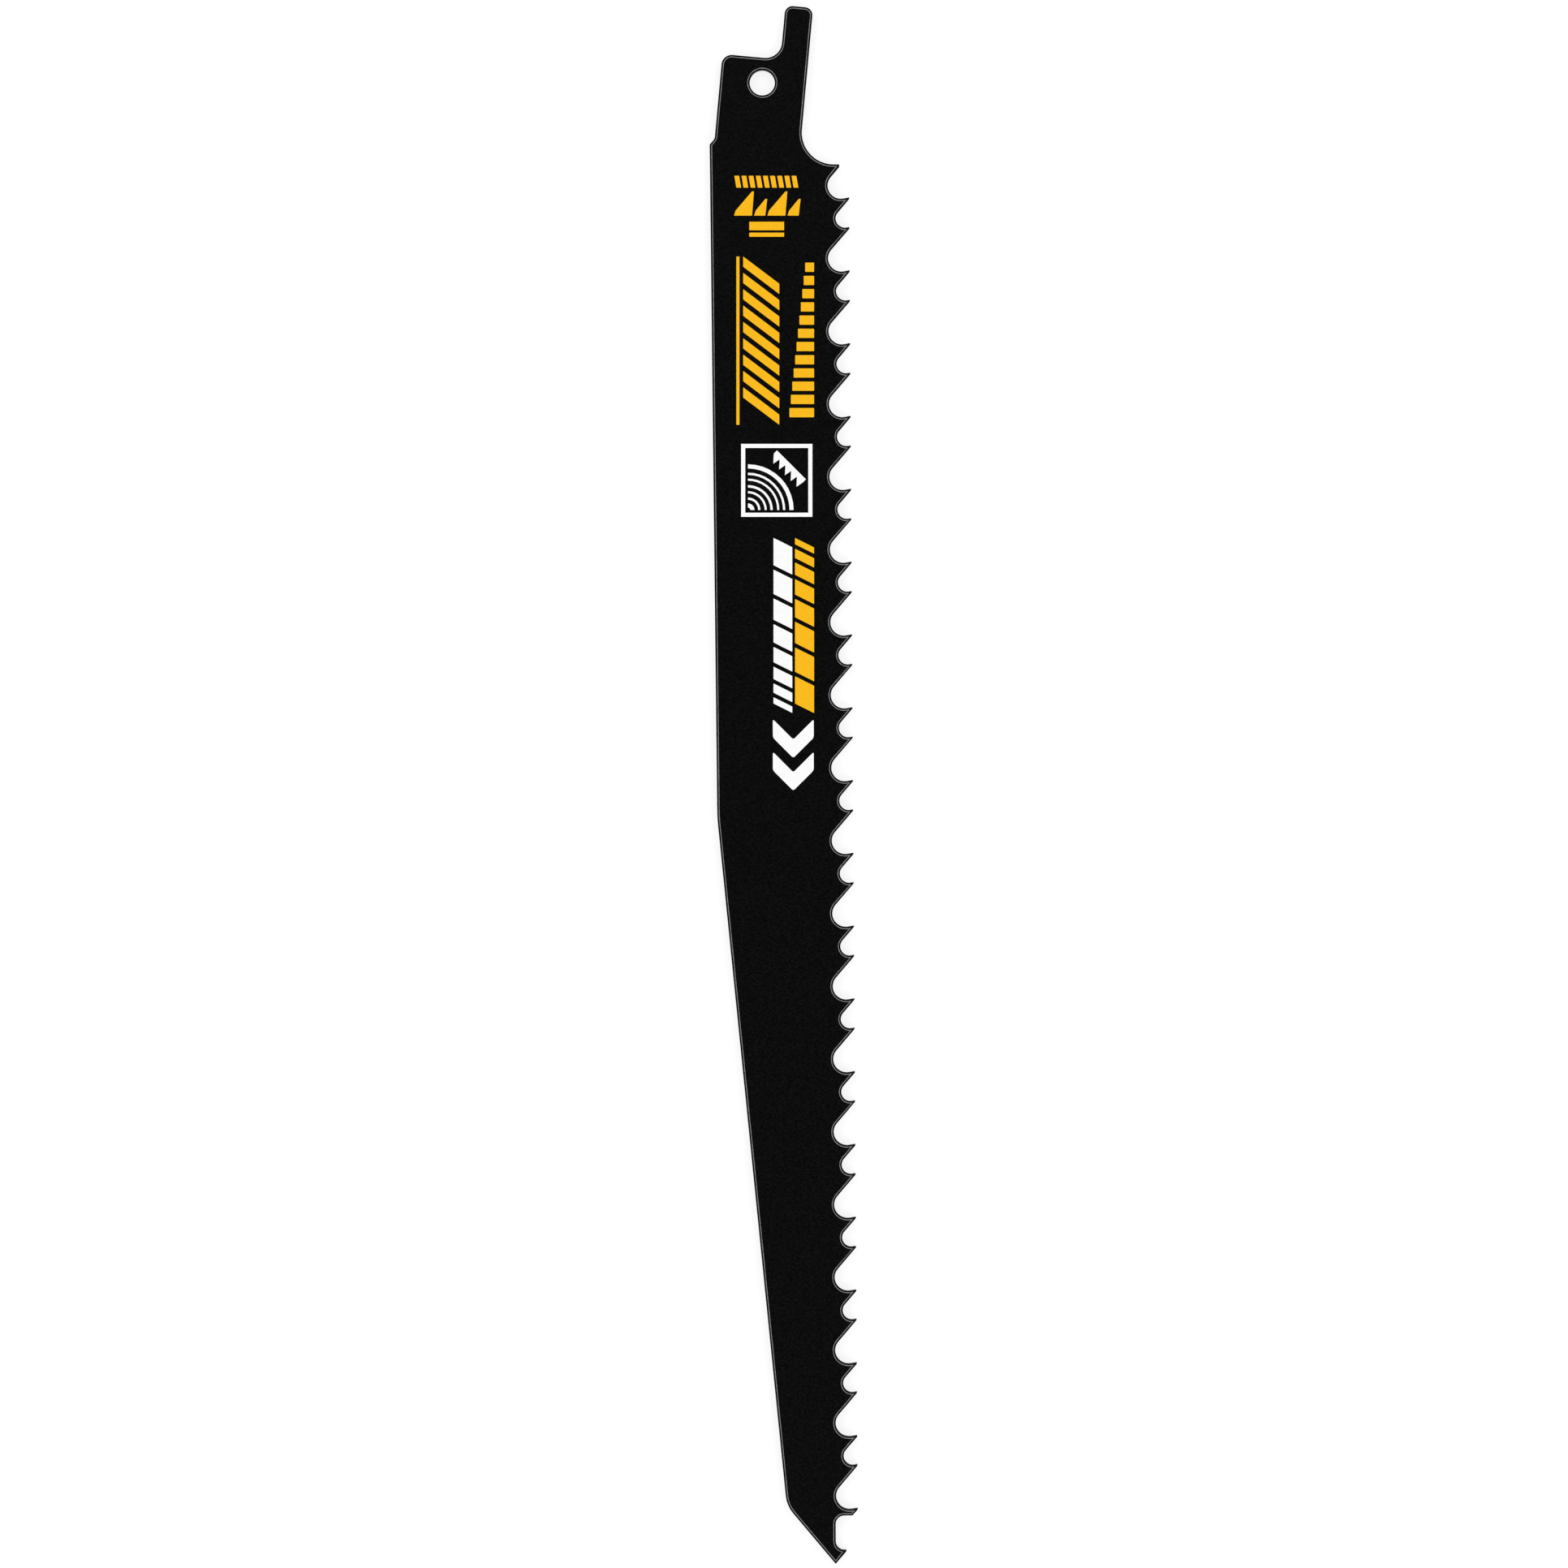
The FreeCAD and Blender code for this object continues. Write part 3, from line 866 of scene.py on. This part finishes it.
# %% World
DIM = 0.12
HORIZON, ABOVE_HORIZON = 0.1, 0.13
world = bpy.data.worlds.new("studio")
bpy.context.scene.world = world
world.use_nodes = True
sky = world.node_tree
background = sky.nodes["Background"]
background.inputs["Color"].default_value = (1, 1, 1, 1)
direction = sky.nodes.new("ShaderNodeTexCoord")
height = sky.nodes.new("ShaderNodeSeparateXYZ")
fade = sky.nodes.new("ShaderNodeMapRange")
for name, value in (("From Min", HORIZON), ("From Max", ABOVE_HORIZON), ("To Min", 1.0), ("To Max", DIM)):
    fade.inputs[name].default_value = value
sky.links.new(direction.outputs["Generated"], height.inputs["Vector"])
sky.links.new(height.outputs["Z"], fade.inputs["Value"])
sky.links.new(fade.outputs["Result"], background.inputs["Strength"])
print(f"the world is white up to {math.degrees(math.asin(HORIZON)):.1f} degrees above the horizon")

# %% Lamps
MIDDLE = Vector((0.103, 0.0025, 0))
LAMP_SIZE, LAMP_POWER, LAMP_DISTANCE = 0.9, 5.2, 1.2
for azimuth in (40, 130, 220, 310):
    bpy.ops.object.light_add(type="AREA")
    lamp = bpy.context.object
    lamp.data.shape = "SQUARE"
    lamp.data.size = LAMP_SIZE
    lamp.data.energy = LAMP_POWER
    turn = math.radians(azimuth)
    away = Vector((math.cos(turn), math.sin(turn), 1.0)).normalized() * LAMP_DISTANCE
    lamp.location = MIDDLE + away
    lamp.rotation_euler = away.to_track_quat("Z", "Y").to_euler()
    print(f"lamp at azimuth {azimuth}, {lamp.location.z:.2f} m up, {LAMP_POWER} W")

# %% [markdown]
# ## Camera
#
# The picture is taken from straight above with a long lens, so that the blade's walls don't show.
# The blade stands upright in it, its tang at the top and its teeth to the right, and leans by a
# third of a degree, as it does in the photograph.

# %% A long lens from above
PHOTO_TURN = math.radians(0.37463)
bpy.ops.object.camera_add(location=(0.10293, 0.00252, 1.15119), rotation=(0, 0, math.pi / 2 - PHOTO_TURN))
camera = bpy.context.object
camera.data.lens = 180
camera.data.sensor_width = 36
camera.data.clip_start, camera.data.clip_end = 0.01, 20
bpy.context.scene.camera = camera
bpy.context.scene.view_settings.view_transform = "Standard"
picture_width = camera.location.z * camera.data.sensor_width / camera.data.lens
print(f"the picture is {picture_width:.4f} m wide at the blade")

# %% [markdown]
# ## Boxes
#
# Last, the box of the finished pieces is printed, beside the box of the CAD model printed at the
# start. The looks mustn't change the size.

# %% Both boxes
low, high = (list(corner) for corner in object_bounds())
print("visual box in metres:", low, high)
